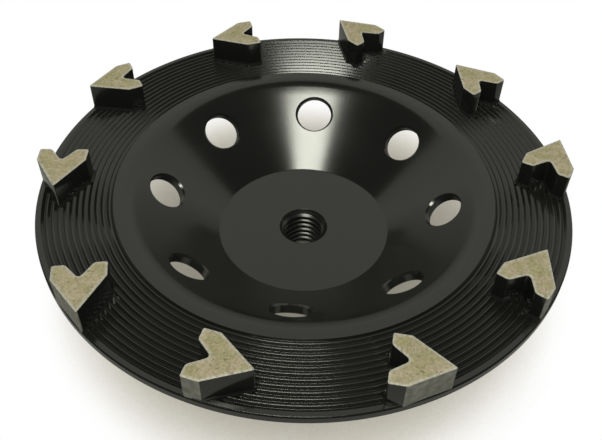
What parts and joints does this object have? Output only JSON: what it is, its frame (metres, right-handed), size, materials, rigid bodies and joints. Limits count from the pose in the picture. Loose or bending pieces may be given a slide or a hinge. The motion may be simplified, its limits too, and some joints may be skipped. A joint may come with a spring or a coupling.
{
  "type": "diamond cup wheel",
  "caption": "Shallow steel cup wheel for an angle grinder, with arrow-shaped diamond segments on a grooved rim, vented conical wall and threaded hub.",
  "frame": {"origin": "centre of the hub's back face, which seats against the spindle's shoulder", "axes": "+Z along the wheel's axis from the hub towards the cutting face; the picture was taken from the -Y side, above the cutting face"},
  "size_m": [0.1801, 0.18, 0.0477],
  "materials": {
    "painted_steel": "satin black baked paint over turned steel",
    "sintered_segment": "ground sintered metal bond on top, painted sides"
  },
  "bodies": {
    "root": {"wheel_body": "painted_steel", "segment_01": "sintered_segment", "segment_02": "sintered_segment", "segment_03": "sintered_segment", "segment_04": "sintered_segment", "segment_05": "sintered_segment", "segment_06": "sintered_segment", "segment_07": "sintered_segment", "segment_08": "sintered_segment", "segment_09": "sintered_segment", "segment_10": "sintered_segment"}
  },
  "joints": []
}
